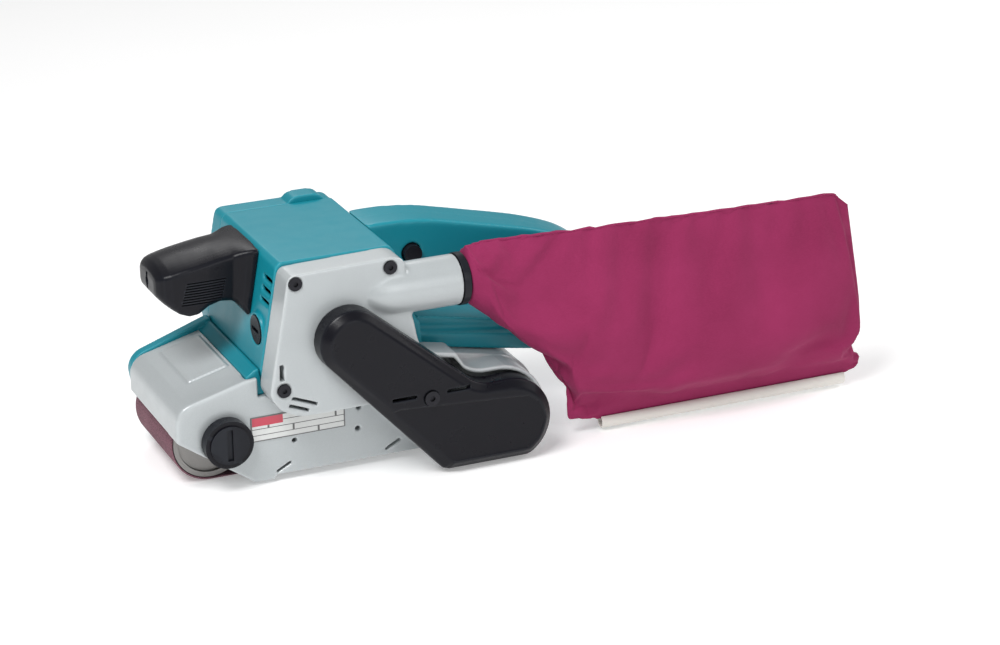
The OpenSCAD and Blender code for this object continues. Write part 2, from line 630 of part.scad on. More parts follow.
module tension_lever() color(steel) difference() {
    union() {
        block(lever_x, 40, lever_y - 3, lever_y + 3.4, 21, 31);
        rod_z(lever_x, lever_y, 21, 31, 6);
        translate([40, lever_y + 0.2, 21]) cylinder(r = 5, h = 10);
        block(30, 44, lever_y + 3, lever_y + 8.4, 21, 31);
    }
    rod_z(lever_x, lever_y, 20, 32, 2.5 + run);
}
module lever_pin() color(steel) rod_z(lever_x, lever_y, 14.1, 38, 2.5);

module tracking_knob() color(black) difference() {
    union() {
        rod_y(-88.7, -68, side_y + 0.7, 34.5, 16);
        rod_y(-88.7, -69.2, -67, 34.5, 13);
    }
    block(-90.6, -86.8, -70, -67.4, 24, 45);
    rod_y(-88.7, -64, side_y + 1, 34.5, 4);
}
module tracking_screw() color(steel) rod_y(-88.7, -63.9, -43.2, 34.5, 4);

// ---- switch -----------------------------------------------------------------------

module switch_body() color(black) block(66, 97, -11, 11, 124.6, 131);
module trigger() color(black) difference() {
    slab(-9, 9) polygon(concat([[62, 114.6]], arc(82, 122, 20, 205, 325, 8), [[100.2, 111.4],
        [100, 119], [64, 121]]));
    rod_y(64, -10, 10, 117.5, 1.5 + run);
    slab(-9.1, 9.1) polygon(arc(81, 91, 17, 35, 145, 8));
}
module trigger_pin() color(steel) rod_y(64, -15.2, 15.2, 117.5, 1.5);
module lock_button() color(black) union() {
    rod_y(lock[0], -21.4, -8, lock[1], 6.1);
}
module cord_gland() color(black) difference() {
    union() {
        rod_x(193, 207, 0, 78, 8);
        rod_x(205.5, 209, 0, 78, 9.6);
    }
    rod_x(192, 210, 0, 78, cord_r);
}
module rating_plate() color([0.85, 0.85, 0.83]) block(-72, -8, side_y - 0.5, side_y, 30, 47);

// ---- dust bag -------------------------------------------------------------------

module bag_cuff() color(black) difference() {
    union() {
        rod_x(nozzle_end - 20, nozzle_end + 0.3, nozzle_y, nozzle_z, nozzle_bore - gap);
        rod_x(nozzle_end + 0.3, nozzle_end + 5, nozzle_y, nozzle_z, 17.2);
        rod_x(nozzle_end + 5, nozzle_end + 13, nozzle_y, nozzle_z, 14);
    }
    rod_x(nozzle_end - 21, nozzle_end + 14, nozzle_y, nozzle_z, 12.2);
}

// The filled middle of the bag
module bag_middle() {
    for (p = [[165, 100], [325, 108], [335, 60], [185, 60]])
        translate([p[0], bag_y, p[1]]) sphere(r = bag_thick / 2, $fn = 32);
}
module dust_bag() color([0.56, 0.19, 0.36]) difference() {
    union() {
        hull() {
            rod_x(nozzle_end + 5.3, nozzle_end + 9, nozzle_y, nozzle_z, 15.8);
            for (p = [[90, 136, 9], [343, 132, 9], [bag_end - 8, 60, 8], [150, 42, 6]])
                translate([p[0], bag_y, p[1]]) sphere(r = p[2], $fn = 32);
            bag_middle();
        }
        hull() {
            for (p = [[bag_end - 8, 60, 8], [bag_end - 8, 22, 8], [152, 20, 8], [150, 42, 6]])
                translate([p[0], bag_y, p[1]]) sphere(r = p[2], $fn = 32);
            bag_middle();
        }
        block(169, 350, bag_y - 0.8, bag_y + 0.8, hem_z, 20);
        rod_x(169, 350, bag_y, hem_z, 2.4);
    }
    rod_x(nozzle_end, nozzle_end + 14, nozzle_y, nozzle_z, 14 + gap);
    rod_x(nozzle_end, nozzle_end + 60, nozzle_y, nozzle_z, 12);
}
module closing_rod() color([0.92, 0.91, 0.88]) difference() {
    rod_x(168, 352, bag_y, hem_z, 4.4);
    rod_x(167, 353, bag_y, hem_z, 2.9);
    block(167, 353, bag_y - 1.4, bag_y + 1.4, hem_z, hem_z + 6);
}

main_frame();
guard_plate();
motor_housing();
end_cover();
end_cover_screws();
fan_cover();
fan_cover_screws();
drive_cover();
drive_cover_screw();
rear_body();
handle_left();
handle_right();
handle_screws();
front_grip();
grip_screw();
stator();
brush_holders();
carbon_brushes();
brush_caps();
armature_shaft();
armature_core();
commutator();
cooling_fan();
dust_fan();
motor_bearings();
motor_pulley();
drive_belt();
driven_pulley();
pulley_nut();
rear_shaft();
rear_roller();
rear_bearings();
sanding_belt();
platen_plate();
platen_pad();
platen_screws();
tension_rod();
tension_spring();
roller_yoke();
yoke_pin();
front_axle();
front_roller();
tension_lever();
lever_pin();
tracking_knob();
tracking_screw();
switch_body();
trigger();
trigger_pin();
lock_button();
cord_gland();
rating_plate();
bag_cuff();
dust_bag();
closing_rod();
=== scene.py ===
# %% [markdown]
# # A handheld belt sander and its dust bag
# The machine is already modelled as exact solids, one for each part that is bolted, pressed or
# hinged to another. This lesson loads those solids as a fixed frame and gives them their looks:
# cast and moulded shells with soft edges, a filled cloth bag, and a finish for every material.
# It must come before everything else.

# %% Load the frame
import json
import math

import bmesh
import bpy
import numpy as np
from mathutils import Matrix, Vector

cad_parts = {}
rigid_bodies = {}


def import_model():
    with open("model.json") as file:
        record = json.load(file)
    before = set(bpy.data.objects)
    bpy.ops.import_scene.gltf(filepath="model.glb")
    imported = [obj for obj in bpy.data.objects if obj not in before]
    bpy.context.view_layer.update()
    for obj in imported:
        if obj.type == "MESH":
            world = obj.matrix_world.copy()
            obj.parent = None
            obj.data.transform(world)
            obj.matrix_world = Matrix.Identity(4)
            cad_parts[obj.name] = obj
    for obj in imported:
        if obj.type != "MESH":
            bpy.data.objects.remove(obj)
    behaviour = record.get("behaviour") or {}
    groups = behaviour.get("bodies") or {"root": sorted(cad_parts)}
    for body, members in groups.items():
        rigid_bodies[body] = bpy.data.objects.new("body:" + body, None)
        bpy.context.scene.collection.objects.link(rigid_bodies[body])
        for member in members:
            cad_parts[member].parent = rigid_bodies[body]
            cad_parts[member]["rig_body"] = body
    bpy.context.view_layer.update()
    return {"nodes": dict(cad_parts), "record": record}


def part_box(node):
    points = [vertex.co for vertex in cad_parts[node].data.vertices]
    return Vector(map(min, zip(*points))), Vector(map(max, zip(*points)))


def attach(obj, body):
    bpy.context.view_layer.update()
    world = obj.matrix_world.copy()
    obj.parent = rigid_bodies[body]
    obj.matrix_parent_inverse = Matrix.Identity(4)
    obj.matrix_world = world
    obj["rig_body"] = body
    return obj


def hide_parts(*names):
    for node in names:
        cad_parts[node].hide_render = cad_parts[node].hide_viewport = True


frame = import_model()
nodes = frame["nodes"]
body_of = {n: o["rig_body"] for n, o in nodes.items()}
slot_of = {s["node"]: s["material_slot"] for s in frame["record"]["subparts"]}
MM = 0.001

# %% [markdown]
# ## The camera
# A product picture is taken from far away with a long lens, so that parallel edges stay nearly
# parallel. The camera stands in front of the left side and a little above it. Its turn is built
# from three plain rotations: round the vertical, up or down, and a small roll.

# %% Camera
camera_azimuth, camera_elevation, camera_roll = 23.37, 21.24, -0.75
camera_place = Vector((-0.630, -1.753, 0.800))
camera_data = bpy.data.cameras.new("camera")
camera_data.lens = 109.4
camera_data.clip_start = 0.05
camera = bpy.data.objects.new("camera", camera_data)
camera.matrix_world = (
    Matrix.Translation(camera_place)
    @ Matrix.Rotation(math.radians(-camera_azimuth), 4, "Z")
    @ Matrix.Rotation(math.radians(90 - camera_elevation), 4, "X")
    @ Matrix.Rotation(math.radians(camera_roll), 4, "Z")
)
bpy.context.scene.collection.objects.link(camera)
bpy.context.scene.camera = camera

# %% [markdown]
# ## Floor and light
# The machine stands on the flat of its belt, so the floor lies just under the lowest point of the
# belt. The floor is a white sweep that glows a little, as a light table does, and the world is
# dim, so most of the light comes from a few large lamps: a strong one high on the left, which
# draws the bright lines along the rounded edges and leaves the undersides darker, one on the
# right that is mirrored in the chamfers of the black cover, and two weak ones in front and behind.

# %% Floor and world
floor_level, floor_size = -0.0006, 6.0
world_glow, floor_glow = 0.30, 0.28


def flat_floor(size, level):
    """A single square face, far larger than the picture."""
    half = size / 2
    mesh = bpy.data.meshes.new("floor")
    corners = [(-half, -half, level), (half, -half, level), (half, half, level), (-half, half, level)]
    mesh.from_pydata(corners, [], [(0, 1, 2, 3)])
    obj = bpy.data.objects.new("floor", mesh)
    bpy.context.scene.collection.objects.link(obj)
    return obj


floor = flat_floor(floor_size, floor_level)

world = bpy.data.worlds.new("studio")
bpy.context.scene.world = world
world.use_nodes = True
background = world.node_tree.nodes["Background"].inputs
background["Color"].default_value = (1.0, 1.0, 1.0, 1.0)
background["Strength"].default_value = world_glow
print("floor at", floor_level, "m")

# %% Lamps
lamp_aim = Vector((0.05, -0.05, 0.06))


def softbox(name, place, size, power):
    """A square area lamp that looks at the machine."""
    data = bpy.data.lights.new(name, "AREA")
    data.shape = "SQUARE"
    data.size = size
    data.energy = power
    lamp = bpy.data.objects.new(name, data)
    lamp.location = place
    lamp.rotation_euler = (lamp_aim - Vector(place)).to_track_quat("-Z", "Y").to_euler()
    bpy.context.scene.collection.objects.link(lamp)
    return lamp


lamps = [
    softbox("key_lamp", (-0.75, -0.65, 1.45), 0.7, 24.0),
    softbox("front_lamp", (0.3, -1.6, 0.7), 0.9, 5.0),
    softbox("right_lamp", (1.5, 0.1, 1.0), 1.0, 11.0),
    softbox("rear_lamp", (0.3, 1.3, 1.2), 0.7, 4.0),
]
# the plain transform keeps the full contrast and colour of a printed product picture
bpy.context.scene.view_settings.view_transform = "Standard"
print(len(lamps), "lamps")

# %% [markdown]
# ## Small tools for finishes
# A finish is a material made of nodes. Each one starts from a Principled shader whose plain values
# are set straight on its sockets. Noise, ramps and bumps are then added where the real surface
# has grain, speckle or wear. The patterns read object coordinates, which are in metres here, so a
# scale of 1000 makes features of about a millimetre, and nothing needs unwrapping. The depth of a
# bump is in metres too.

# %% Finish tools
finishes = {}


class Finish:
    """A material in the making: keeps the tree, its shader and the object coordinates."""

    def __init__(self, name, **sockets):
        self.material = bpy.data.materials.new(name)
        self.material.use_nodes = True
        self.tree = self.material.node_tree
        self.shader = self.tree.nodes["Principled BSDF"]
        self.place = self.tree.nodes.new("ShaderNodeTexCoord").outputs["Object"]
        for socket, value in sockets.items():
            self.shader.inputs[socket.replace("_", " ")].default_value = value
        finishes[name] = self.material

    def node(self, kind, inputs=None, **settings):
        made = self.tree.nodes.new(kind)
        for key, value in settings.items():
            setattr(made, key, value)
        for key, value in (inputs or {}).items():
            if isinstance(value, bpy.types.NodeSocket):
                self.tree.links.new(value, made.inputs[key])
            else:
                made.inputs[key].default_value = value
        return made

    def noise(self, scale, detail=3.0, stretch=(1, 1, 1)):
        mapped = self.node("ShaderNodeMapping", {"Vector": self.place, "Scale": stretch})
        inputs = {"Vector": mapped.outputs["Vector"], "Scale": scale, "Detail": detail}
        return self.node("ShaderNodeTexNoise", inputs).outputs["Fac"]

    def cells(self, scale, feature="F1"):
        inputs = {"Vector": self.place, "Scale": scale}
        return self.node("ShaderNodeTexVoronoi", inputs, feature=feature).outputs["Distance"]

    def ramp(self, value, stops):
        """Colours or greys along a value: stops is a list of (place, colour)."""
        made = self.node("ShaderNodeValToRGB", {"Fac": value})
        elements = made.color_ramp.elements
        while len(elements) < len(stops):
            elements.new(0.5)
        for element, (place, colour) in zip(elements, stops):
            element.position = place
            element.color = (*colour, 1.0) if hasattr(colour, "__len__") else (colour,) * 3 + (1.0,)
        return made.outputs["Color"]

    def math(self, operation, a, b=0.0):
        return self.node("ShaderNodeMath", {0: a, 1: b}, operation=operation).outputs[0]

    def mix(self, factor, a, b, blend="MIX"):
        made = self.node("ShaderNodeMix", data_type="RGBA", blend_type=blend)
        for socket, value in ((0, factor), (6, a), (7, b)):
            if isinstance(value, bpy.types.NodeSocket):
                self.tree.links.new(value, made.inputs[socket])
            else:
                made.inputs[socket].default_value = value if socket == 0 else (*value, 1.0)
        return made.outputs[2]

    def set(self, socket, value):
        self.tree.links.new(value, self.shader.inputs[socket])

    def bump(self, height, distance, strength=1.0):
        """Bumps stack: each new one is laid over the one before."""
        inputs = {"Height": height, "Distance": distance, "Strength": strength}
        before = self.shader.inputs["Normal"].links
        if before:
            inputs["Normal"] = before[0].from_socket
        self.set("Normal", self.node("ShaderNodeBump", inputs).outputs["Normal"])

    def edge(self, low=0.50, high=0.56):
        """1 on raised edges and 0 on flats, from how the surface bends."""
        bend = self.node("ShaderNodeNewGeometry").outputs["Pointiness"]
        return self.ramp(bend, [(low, 0.0), (high, 1.0)])


print("finish tools ready")

# %% [markdown]
# ## Plastics and rubber
# Moulded plastic takes the texture of its mould. The coloured housings are semi-gloss: a very
# fine grain, a slow unevenness where the wall cools, and raised edges mixed towards a paler
# colour, partly for rubbing and partly as a painted highlight along the rounds. The black parts
# have a coarser spark-eroded grain, so they look duller and never quite black.

# %% Moulded plastics


def moulded_plastic(name, colour, pale, roughness, grain, grain_depth, shine=0.35):
    made = Finish(name, Roughness=roughness, IOR=1.5, Specular_IOR_Level=shine)
    drift = made.noise(18.0, 2.0)
    dark, light = (tuple(min(1.0, share * c) for c in colour) for share in (0.93, 1.07))
    body = made.mix(drift, dark, light)
    # raised edges are mixed towards the pale colour: partly rubbed wear, partly a painted highlight
    made.set("Base Color", made.mix(made.math("MULTIPLY", made.edge(), 0.35), body, pale))
    cloud = made.noise(60.0, 4.0)
    made.set("Roughness", made.ramp(cloud, [(0.3, roughness - 0.05), (0.7, roughness + 0.07)]))
    made.bump(made.noise(grain, 2.0), grain_depth, 0.5)
    made.bump(drift, 0.0006, 0.25)
    return made


moulded_plastic("teal_plastic", (0.004, 0.225, 0.290), (0.06, 0.38, 0.45), 0.36, 2600.0, 0.00003)
moulded_plastic(
    "black_plastic", (0.005, 0.005, 0.008), (0.034, 0.040, 0.050), 0.30, 1500.0, 0.00004, 0.19
)
moulded_plastic("white_plastic", (0.70, 0.69, 0.64), (0.80, 0.79, 0.75), 0.42, 2200.0, 0.00003)
moulded_plastic("rubber", (0.002, 0.002, 0.004), (0.022, 0.024, 0.030), 0.22, 1100.0, 0.00002, 0.34)
moulded_plastic("carbon", (0.030, 0.030, 0.032), (0.07, 0.07, 0.07), 0.60, 3000.0, 0.00004)
print("plastics made")

# %% [markdown]
# ## Painted and bare metal
# The castings are enamelled in a silver grey. Enamel flows before it sets, so it keeps a faint
# orange peel, and tiny flakes in it make a speckle that only shows close up. Raised edges are
# mixed towards a paler grey: partly paint rubbed thin, partly a painted highlight along the
# rounds. Bare metals differ mostly in colour and in the direction of their scratches, which a
# stretched noise makes.

# %% Enamel and metals


def enamel(name, colour, pale):
    made = Finish(name, Metallic=0.15, Roughness=0.36, Coat_Weight=0.25, Coat_Roughness=0.18)
    flake = made.ramp(made.cells(2400.0), [(0.15, tuple(1.10 * c for c in colour)), (0.6, colour)])
    dust = made.noise(9.0, 4.0)
    soil = made.ramp(dust, [(0.45, 0.0), (0.75, 0.16)])
    soiled = made.mix(soil, flake, tuple(0.72 * c for c in colour))
    # raised edges are mixed towards the pale grey: partly rubbed paint, partly a painted highlight
    made.set("Base Color", made.mix(made.math("MULTIPLY", made.edge(), 0.5), soiled, pale))
    made.set("Roughness", made.ramp(made.noise(80.0, 4.0), [(0.3, 0.30), (0.7, 0.44)]))
    made.bump(made.noise(420.0, 2.0), 0.00008, 0.45)
    made.bump(made.noise(2200.0, 2.0), 0.00003, 0.4)
    return made


def bare_metal(name, colour, roughness, stretch=(1, 1, 1), grain=900.0, depth=0.00003):
    made = Finish(name, Metallic=1.0, Roughness=roughness)
    lines = made.noise(grain, 3.0, stretch)
    made.set("Base Color", made.mix(made.noise(70.0, 3.0), tuple(0.82 * c for c in colour), colour))
    made.set("Roughness", made.ramp(lines, [(0.3, roughness - 0.08), (0.7, roughness + 0.12)]))
    made.bump(lines, depth, 0.5)
    return made


enamel("silver_paint", (0.42, 0.45, 0.46), (0.66, 0.69, 0.70))
bare_metal("steel", (0.52, 0.52, 0.54), 0.32, (1, 6, 1))
bare_metal("black_steel", (0.035, 0.035, 0.040), 0.42)
bare_metal("cast_metal", (0.30, 0.29, 0.28), 0.42, (6, 1, 6), 500.0, 0.00005)
bare_metal("brass", (0.72, 0.52, 0.24), 0.30, (1, 1, 5))
bare_metal("copper", (0.78, 0.38, 0.22), 0.28, (1, 5, 1))
bare_metal("motor_iron", (0.22, 0.14, 0.10), 0.50, (1, 30, 1), 700.0, 0.00012)
print("metals made")

# %% [markdown]
# ## Abrasive, cork and film
# The belt is cloth covered with grains set in resin, and each grain is a small sharp cell. The
# cork pad is pressed granules. Nothing is written on the rating plate: it is a pale film with one
# coloured field, empty boxes between thin rules and a dark rim, all drawn from where a point lies
# on the plate.

# %% Abrasive and cork


def abrasive():
    made = Finish("grit", Roughness=0.85, Specular_IOR_Level=0.35)
    grains = made.cells(1500.0)
    pale, middle, dark = (0.30, 0.145, 0.18), (0.20, 0.085, 0.115), (0.09, 0.04, 0.05)
    shade = made.ramp(grains, [(0.1, pale), (0.45, middle), (0.8, dark)])
    worn = made.ramp(made.noise(40.0, 4.0), [(0.4, 0.0), (0.8, 0.3)])
    made.set("Base Color", made.mix(worn, shade, (0.34, 0.19, 0.22)))
    made.bump(grains, -0.00035, 0.9)
    made.bump(made.noise(5000.0, 2.0), 0.00008, 0.6)
    return made


def cork():
    made = Finish("cork", Roughness=0.9)
    granule = made.cells(420.0)
    pale, middle, dark = (0.36, 0.24, 0.14), (0.22, 0.13, 0.07), (0.08, 0.05, 0.03)
    made.set("Base Color", made.ramp(granule, [(0.0, pale), (0.6, middle), (1.0, dark)]))
    made.bump(granule, -0.0002, 0.7)
    return made


abrasive()
cork()
print("abrasive and cork made")

# %% Rating plate film
plate_low, plate_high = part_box("rating_plate")
field_share, field_bottom = 0.34, 0.62
row_count, column_count, row_shift = 4.0, 1.4, 0.37
rim_x, rim_z, row_rule, column_rule = 0.485, 0.455, 0.44, 0.485


def plate_film():
    """Pale film with empty ruled boxes and a coloured field over the top left third."""
    made = Finish("plate_film", Roughness=0.3, Coat_Weight=0.3)

    def near_ends(value, limit):
        """1 where a value between 0 and 1 is further than limit from its middle."""
        from_middle = made.math("ABSOLUTE", made.math("SUBTRACT", value, 0.5))
        return made.math("GREATER_THAN", from_middle, limit)

    parts = made.node("ShaderNodeSeparateXYZ", {0: made.place}).outputs
    size = plate_high - plate_low
    across = made.math("DIVIDE", made.math("SUBTRACT", parts["X"], plate_low.x), size.x)
    up = made.math("DIVIDE", made.math("SUBTRACT", parts["Z"], plate_low.z), size.z)
    on_left = made.math("LESS_THAN", across, field_share)
    on_top = made.math("GREATER_THAN", up, field_bottom)
    rows = made.math("MULTIPLY", up, row_count)
    shift = made.math("MULTIPLY", made.math("FLOOR", rows), row_shift)
    columns = made.math("ADD", made.math("MULTIPLY", across, column_count), shift)
    row_lines = near_ends(made.math("FRACT", rows), row_rule)
    column_lines = near_ends(made.math("FRACT", columns), column_rule)
    film = made.mix(made.noise(300.0), (0.60, 0.61, 0.60), (0.68, 0.69, 0.68))
    film = made.mix(made.math("MAXIMUM", row_lines, column_lines), film, (0.10, 0.10, 0.10))
    film = made.mix(made.math("MULTIPLY", on_left, on_top), film, (0.52, 0.045, 0.08))
    edges = made.math("MAXIMUM", near_ends(across, rim_x), near_ends(up, rim_z))
    made.set("Base Color", made.mix(edges, film, (0.12, 0.12, 0.12)))
    made.bump(made.noise(1800.0), 0.00002, 0.4)
    return made


plate_film()
print("plate film made")

# %% [markdown]
# ## Bag cloth
# The bag is a plain-woven cotton, filled with resin so that fine dust stays in. Two sets of waves
# at right angles, multiplied together, give the over and under of the threads. The slow noise is
# the way the dye takes unevenly, and sheen stands for the nap that brightens at grazing angles.

# %% Bag cloth
thread_pitch = 0.0008
# the wave pattern runs twenty times faster than its scale says
thread_scale = 0.05 * 2 * math.pi / thread_pitch


def bag_cloth():
    sheen = {"Sheen_Weight": 0.08, "Sheen_Roughness": 0.45}
    made = Finish("bag_fabric", Roughness=0.8, Specular_IOR_Level=0.2, **sheen)
    made.shader.inputs["Sheen Tint"].default_value = (0.85, 0.45, 0.62, 1.0)
    threads = []
    for direction in ("X", "Z"):
        inputs = {"Vector": made.place, "Scale": thread_scale, "Distortion": 0.6, "Detail": 1.0}
        wave = made.node("ShaderNodeTexWave", inputs, bands_direction=direction)
        threads.append(wave.outputs["Fac"])
    weave = made.math("MULTIPLY", threads[0], threads[1])
    dye = made.ramp(made.noise(22.0, 5.0), [(0.3, (0.225, 0.016, 0.070)), (0.7, (0.290, 0.023, 0.095))])
    slub = made.ramp(made.noise(500.0, 3.0, (1, 1, 8)), [(0.35, 0.0), (0.8, 0.35)])
    made.set("Base Color", made.mix(slub, dye, (0.34, 0.035, 0.12)))
    made.bump(weave, 0.00012, 0.55)
    made.bump(made.noise(120.0, 4.0), 0.0006, 0.25)
    return made


bag_cloth()
print(len(finishes), "finishes:", sorted(finishes))

# %% Floor finish
floor_finish = Finish("floor_finish", Roughness=0.55)
floor_tone = floor_finish.mix(floor_finish.noise(3.0), (0.86, 0.86, 0.86), (0.88, 0.88, 0.88))
floor_finish.set("Base Color", floor_tone)
floor_finish.set("Emission Color", floor_tone)
floor_finish.shader.inputs["Emission Strength"].default_value = floor_glow
floor.data.materials.append(floor_finish.material)

# %% [markdown]
# ## Small tools for shapes
# Real castings and mouldings have no sharp edges. The quickest honest way to get them is to fill
# the shape with small cubes of one size, which Blender calls a voxel remesh, and then to relax the
# skin: every pass moves a point towards the middle of its neighbours, so flats stay flat and every
# corner, inside or outside, becomes a small round. The size of the cubes and the number of passes
# set the radius. All shapes are drawn in millimetres.

# %% Shape tools
# points that are closer than this, in metres, are one point
same_point = 0.00001


def new_object(name, mesh):
    obj = bpy.data.objects.new(name, mesh)
    bpy.context.scene.collection.objects.link(obj)
    return obj


def from_faces(name, points, faces):
    """A mesh from points in millimetres."""
    mesh = bpy.data.meshes.new(name)
    mesh.from_pydata([Vector(p) * MM for p in points], [], faces)
    mesh.validate()
    obj = new_object(name, mesh)
    bm = bmesh.new()
    bm.from_mesh(mesh)
    bmesh.ops.recalc_face_normals(bm, faces=bm.faces)
    bm.to_mesh(mesh)
    bm.free()
    return obj


def settle(obj):
    """Applies an object's modifiers, so that its mesh is the final one."""
    evaluated = obj.evaluated_get(bpy.context.evaluated_depsgraph_get())
    mesh = bpy.data.meshes.new_from_object(evaluated)
    obj.modifiers.clear()
    obj.data = mesh
    return obj


def smooth_shading(obj):
    obj.data.polygons.foreach_set("use_smooth", [True] * len(obj.data.polygons))
    return obj


def cast(obj, voxel, passes, where=None, more=0):
    """Voxel remesh and relax, in millimetres. where(points) may give 0 to 1 for extra passes."""
    remesh = obj.modifiers.new("cubes", "REMESH")
    remesh.mode = "VOXEL"
    remesh.voxel_size = voxel * MM
    settle(obj)
    if where is not None:
        points = np.array([v.co for v in obj.data.vertices]) / MM
        group = obj.vertex_groups.new(name="softer")
        weights = where(points)
        for level in np.unique(np.round(weights, 1)):
            if level > 0:
                chosen = np.nonzero(np.round(weights, 1) == level)[0].tolist()
                group.add(chosen, float(level), "REPLACE")
        extra = obj.modifiers.new("relax_more", "SMOOTH")
        extra.factor = 0.5
        extra.iterations = more
        extra.vertex_group = "softer"
    relax = obj.modifiers.new("relax", "SMOOTH")
    relax.factor = 0.5
    relax.iterations = passes
    settle(obj)
    obj.vertex_groups.clear()
    return smooth_shading(obj)


def copy_of(node):
    """The welded mesh of a CAD solid as a new object, to be reshaped."""
    obj = new_object(node + "_shell", nodes[node].data.copy())
    weld = obj.modifiers.new("weld", "WELD")
    weld.merge_threshold = same_point
    return settle(obj)


def stands_for(obj, *replaced):
    """Gives a finished piece its body, its finish and the CAD solid that it replaces."""
    slot = slot_of[replaced[0]]
    obj.data.materials.clear()
    obj.data.materials.append(finishes[slot])
    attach(obj, body_of[replaced[0]])
    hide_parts(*replaced)
    print(obj.name, len(obj.data.polygons), "faces")
    return obj


def box_mm(low, high):
    """Points and faces of a box between two corners."""
    x_ends, y_ends, z_ends = zip(low, high)
    points = [(x, y, z) for x in x_ends for y in y_ends for z in z_ends]
    faces = [(0, 1, 3, 2), (4, 6, 7, 5), (0, 4, 5, 1), (2, 3, 7, 6), (0, 2, 6, 4), (1, 5, 7, 3)]
    return points, faces


def prism(outline, y0, y1):
    """Points and faces of a side outline (X, Z) made solid from y0 to y1."""
    count = len(outline)
    points = [(x, y, z) for y in (y0, y1) for x, z in outline]
    sides = [(i, (i + 1) % count, count + (i + 1) % count, count + i) for i in range(count)]
    return points, sides + [tuple(range(count)), tuple(range(count, 2 * count))]


def rod(low, high, radius, sides=32):
    """Points and faces of a cylinder between two points."""
    axis = (Vector(high) - Vector(low)).normalized()
    across = axis.orthogonal().normalized()
    other = axis.cross(across)
    turns = [2 * math.pi * i / sides for i in range(sides)]
    ring = [radius * (math.cos(t) * across + math.sin(t) * other) for t in turns]
    points = [Vector(end) + r for end in (low, high) for r in ring]
    faces = [(i, (i + 1) % sides, sides + (i + 1) % sides, sides + i) for i in range(sides)]
    return points, faces + [tuple(range(sides)), tuple(range(sides, 2 * sides))]


def carve(obj, *solids):
    """Cuts solids, given as points and faces in millimetres, out of an object."""
    for points, faces in solids:
        cutter = from_faces("cutter", points, faces)
        cut = obj.modifiers.new("cut", "BOOLEAN")
        cut.operation = "DIFFERENCE"
        cut.solver = "EXACT"
        cut.object = cutter
        settle(obj)
        bpy.data.objects.remove(cutter)
    return obj


def loft(name, rings):
    """Joins rings of the same number of points, given in millimetres, and closes both ends."""
    count = len(rings[0])
    points = [p for ring in rings for p in ring]
    faces = []
    for base in range(0, len(points) - count, count):
        for i in range(count):
            after = (i + 1) % count
            faces.append((base + i, base + after, base + count + after, base + count + i))
    faces += [tuple(range(count)), tuple(range(len(points) - count, len(points)))]
    return from_faces(name, points, faces)


print("shape tools ready")

# %% Rounding helpers


def soften(points, times):
    """Cuts the corners of a closed outline, which rounds it more each time."""
    for _ in range(times):
        ahead = points[1:] + points[:1]
        points = [
            (a[0] + share * (b[0] - a[0]), a[1] + share * (b[1] - a[1]))
            for a, b in zip(points, ahead)
            for share in (0.25, 0.75)
        ]
    return points


def arc(x, z, radius, start, end, count=12):
    """Points of an arc in degrees."""
    turns = [math.radians(start + (end - start) * i / count) for i in range(count + 1)]
    return [(x + radius * math.cos(t), z + radius * math.sin(t)) for t in turns]


def fade(values, start, end):
    """0 before start, 1 after end, smooth between."""
    t = np.clip((values - start) / (end - start), 0.0, 1.0)
    return t * t * (3 - 2 * t)


# %% [markdown]
# ## The frame casting
# The casting is one piece of aluminium: a flat left side, a nose that wraps over the front roller
# and a deck for the motor. Its solid is right, but its edges are sharp. It gets a fine remesh with
# a few passes, and many more passes along the nose, which a caster would round generously. Only
# the raised pad on the nose is spared, so that it stays crisp.

# %% Frame casting
side_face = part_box("rating_plate")[1].y / MM
nose_rear = -70.0
pad_corner, pad_tilt, pad_size = (-102.0, -30.0, 65.0), 15.3, (27.5, 58.0, 1.5)


def on_nose(points):
    """The outside left edge of the nose, where the round is large."""
    forward = 1 - fade(points[:, 0], nose_rear - 4, nose_rear + 4)
    return forward * (1 - fade(points[:, 1], side_face + 8, side_face + 14)) * fade(points[:, 2], 36, 46)


def nose_pad():
    """The raised pad: narrower at its top, and sunk a little into the nose."""
    long, wide, high = pad_size
    slope = Matrix.Rotation(math.radians(-pad_tilt), 3, "Y")
    rings = []
    for level, inset in ((-2.0, 0.0), (0.4, 0.0), (high, 0.9)):
        rear, right = long - inset, wide - inset
        flat = [(inset, inset), (rear, inset), (rear, right), (inset, right)]
        rings.append([Vector(pad_corner) + slope @ Vector((x, y, level)) for x, y in flat])
    return loft("nose_pad", rings)


def joined(obj, *others):
    """Adds other closed bodies to an object. A voxel remesh then melts them into one skin."""
    bm = bmesh.new()
    bm.from_mesh(obj.data)
    for other in others:
        bm.from_mesh(other.data)
        bpy.data.objects.remove(other)
    bm.to_mesh(obj.data)
    bm.free()
    return obj


def off_pad(points):
    """1 everywhere but on the pad and just round it."""
    x = fade(points[:, 0], -76.0, -72.0) + 1 - fade(points[:, 0], -106.0, -103.0)
    y = fade(points[:, 1], 29.0, 32.0) + 1 - fade(points[:, 1], -36.0, -32.0)
    return np.clip(x + y, 0, 1)


def nose_round(points):
    return on_nose(points) * off_pad(points)


main_body = joined(copy_of("main_frame"), nose_pad())
stands_for(cast(main_body, 0.7, 4, nose_round, 60), "main_frame")

# %% [markdown]
# ## Teal shells
# The motor housing, its end cover, the rear body and the plate round the nose are injection
# moulded. They share one wall thickness and one small edge radius, so one loop casts them all.

# %% Teal shells
# size of the cubes and number of passes for each shell
teal_shells = {
    "motor_housing": (0.8, 10),
    "end_cover": (0.8, 6),
    "rear_body": (0.8, 12),
    "guard_plate": (0.7, 5),
}
for shell, (voxel, passes) in teal_shells.items():
    stands_for(cast(copy_of(shell), voxel, passes), shell)

# %% [markdown]
# ## Fan cover and nozzle
# The cover is a die casting in which the nozzle grows out of the face in a long blend. A belt of
# extra passes round the nozzle's root makes the blend, and the air slots are cut after it, so that
# their edges stay crisp.

